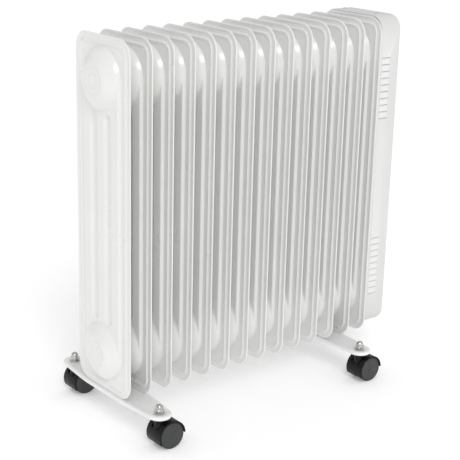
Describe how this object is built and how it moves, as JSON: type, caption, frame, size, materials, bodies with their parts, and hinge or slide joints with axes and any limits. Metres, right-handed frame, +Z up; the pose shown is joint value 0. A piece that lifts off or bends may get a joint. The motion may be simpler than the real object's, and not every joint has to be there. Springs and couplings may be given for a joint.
{
  "type": "oil filled radiator heater",
  "caption": "Free-standing electric heater: a row of hollow steel fins on two feet with twin-wheel casters, with a control box at one end.",
  "frame": {"origin": "on the floor, under the middle of the heater's overall box", "axes": "+Z up; +X along the row of fins, from the closed end fin to the control box; +Y across it"},
  "size_m": [0.604, 0.29, 0.6438],
  "materials": {
    "fin_enamel": "gloss white stoved enamel",
    "foot_enamel": "satin white powder coat",
    "zinc_steel": "zinc plated",
    "nickel": "bright nickel plate",
    "stem_steel": "bright drawn steel",
    "hood_plastic": "moulded black nylon",
    "wheel_plastic": "moulded dark grey nylon",
    "cover_plastic": "satin moulded white",
    "panel_plastic": "fine textured light grey",
    "knob_plastic": "moulded white",
    "switch_plastic": "moulded black",
    "lens_plastic": "translucent amber",
    "gasket_rubber": "matt",
    "element_steel": "heat tinted",
    "block_plastic": "moulded cream",
    "thermostat_metal": "pressed",
    "gland_plastic": "moulded light grey"
  },
  "bodies": {
    "root": {"back_plate": "zinc_steel", "caster_stems": "stem_steel", "control_cover": "cover_plastic", "control_panel": "panel_plastic", "cord_gland": "gland_plastic", "cover_screws": "nickel", "dome_nuts": "nickel", "element_plug": "zinc_steel", "filler_plug": "zinc_steel", "fin_01": "fin_enamel", "fin_02": "fin_enamel", "fin_03": "fin_enamel", "fin_04": "fin_enamel", "fin_05": "fin_enamel", "fin_06": "fin_enamel", "fin_07": "fin_enamel", "fin_08": "fin_enamel", "fin_09": "fin_enamel", "fin_10": "fin_enamel", "fin_11": "fin_enamel", "fin_12": "fin_enamel", "fin_13": "fin_enamel", "fin_14": "fin_enamel", "front_foot": "foot_enamel", "front_u_bolt": "zinc_steel", "gland_nut": "gland_plastic", "header_gaskets": "gasket_rubber", "heating_element": "element_steel", "lower_strap": "zinc_steel", "nut_washers": "nickel", "pilot_lens": "lens_plastic", "rear_foot": "foot_enamel", "rear_u_bolt": "zinc_steel", "switch_frame": "switch_plastic", "switch_pin": "stem_steel", "terminal_block": "block_plastic", "thermal_cutout": "thermostat_metal", "thermostat_body": "thermostat_metal", "upper_strap": "zinc_steel", "wing_nuts": "zinc_steel"},
    "front_left_caster": {"front_left_caster_hood": "hood_plastic", "front_left_axle": "stem_steel"},
    "front_left_outer_wheel": {"front_left_outer_wheel": "wheel_plastic"},
    "front_left_inner_wheel": {"front_left_inner_wheel": "wheel_plastic"},
    "front_right_caster": {"front_right_caster_hood": "hood_plastic", "front_right_axle": "stem_steel"},
    "front_right_outer_wheel": {"front_right_outer_wheel": "wheel_plastic"},
    "front_right_inner_wheel": {"front_right_inner_wheel": "wheel_plastic"},
    "rear_left_caster": {"rear_left_caster_hood": "hood_plastic", "rear_left_axle": "stem_steel"},
    "rear_left_outer_wheel": {"rear_left_outer_wheel": "wheel_plastic"},
    "rear_left_inner_wheel": {"rear_left_inner_wheel": "wheel_plastic"},
    "rear_right_caster": {"rear_right_caster_hood": "hood_plastic", "rear_right_axle": "stem_steel"},
    "rear_right_outer_wheel": {"rear_right_outer_wheel": "wheel_plastic"},
    "rear_right_inner_wheel": {"rear_right_inner_wheel": "wheel_plastic"},
    "knob": {"thermostat_knob": "knob_plastic", "thermostat_shaft": "stem_steel"},
    "left_rocker": {"left_rocker": "switch_plastic"},
    "right_rocker": {"right_rocker": "switch_plastic"}
  },
  "joints": [
    {"name": "front_left_swivel", "type": "hinge", "parent": "root", "child": "front_left_caster", "pos_m": [-0.262, -0.126, 0.045], "axis": [0, 0, 1], "continuous": true},
    {"name": "front_left_outer_spin", "type": "hinge", "parent": "front_left_caster", "child": "front_left_outer_wheel", "pos_m": [-0.249, -0.1385, 0.0225], "axis": [0, 1, 0], "continuous": true},
    {"name": "front_left_inner_spin", "type": "hinge", "parent": "front_left_caster", "child": "front_left_inner_wheel", "pos_m": [-0.249, -0.1135, 0.0225], "axis": [0, 1, 0], "continuous": true},
    {"name": "front_right_swivel", "type": "hinge", "parent": "root", "child": "front_right_caster", "pos_m": [-0.262, 0.126, 0.045], "axis": [0, 0, 1], "continuous": true},
    {"name": "front_right_outer_spin", "type": "hinge", "parent": "front_right_caster", "child": "front_right_outer_wheel", "pos_m": [-0.249, 0.1385, 0.0225], "axis": [0, 1, 0], "continuous": true},
    {"name": "front_right_inner_spin", "type": "hinge", "parent": "front_right_caster", "child": "front_right_inner_wheel", "pos_m": [-0.249, 0.1135, 0.0225], "axis": [0, 1, 0], "continuous": true},
    {"name": "rear_left_swivel", "type": "hinge", "parent": "root", "child": "rear_left_caster", "pos_m": [0.178, -0.126, 0.045], "axis": [0, 0, 1], "continuous": true},
    {"name": "rear_left_outer_spin", "type": "hinge", "parent": "rear_left_caster", "child": "rear_left_outer_wheel", "pos_m": [0.191, -0.1385, 0.0225], "axis": [0, 1, 0], "continuous": true},
    {"name": "rear_left_inner_spin", "type": "hinge", "parent": "rear_left_caster", "child": "rear_left_inner_wheel", "pos_m": [0.191, -0.1135, 0.0225], "axis": [0, 1, 0], "continuous": true},
    {"name": "rear_right_swivel", "type": "hinge", "parent": "root", "child": "rear_right_caster", "pos_m": [0.178, 0.126, 0.045], "axis": [0, 0, 1], "continuous": true},
    {"name": "rear_right_outer_spin", "type": "hinge", "parent": "rear_right_caster", "child": "rear_right_outer_wheel", "pos_m": [0.191, 0.1385, 0.0225], "axis": [0, 1, 0], "continuous": true},
    {"name": "rear_right_inner_spin", "type": "hinge", "parent": "rear_right_caster", "child": "rear_right_inner_wheel", "pos_m": [0.191, 0.1135, 0.0225], "axis": [0, 1, 0], "continuous": true},
    {"name": "knob_turn", "type": "hinge", "parent": "root", "child": "knob", "pos_m": [0.295, 0, 0.505], "axis": [-1, 0, 0], "range_deg": [0, 270]},
    {"name": "left_rocker_press", "type": "hinge", "parent": "root", "child": "left_rocker", "pos_m": [0.284, -0.014, 0.4], "axis": [0, -1, 0], "range_deg": [0, 16]},
    {"name": "right_rocker_press", "type": "hinge", "parent": "root", "child": "right_rocker", "pos_m": [0.284, 0.014, 0.4], "axis": [0, -1, 0], "range_deg": [0, 16]}
  ]
}
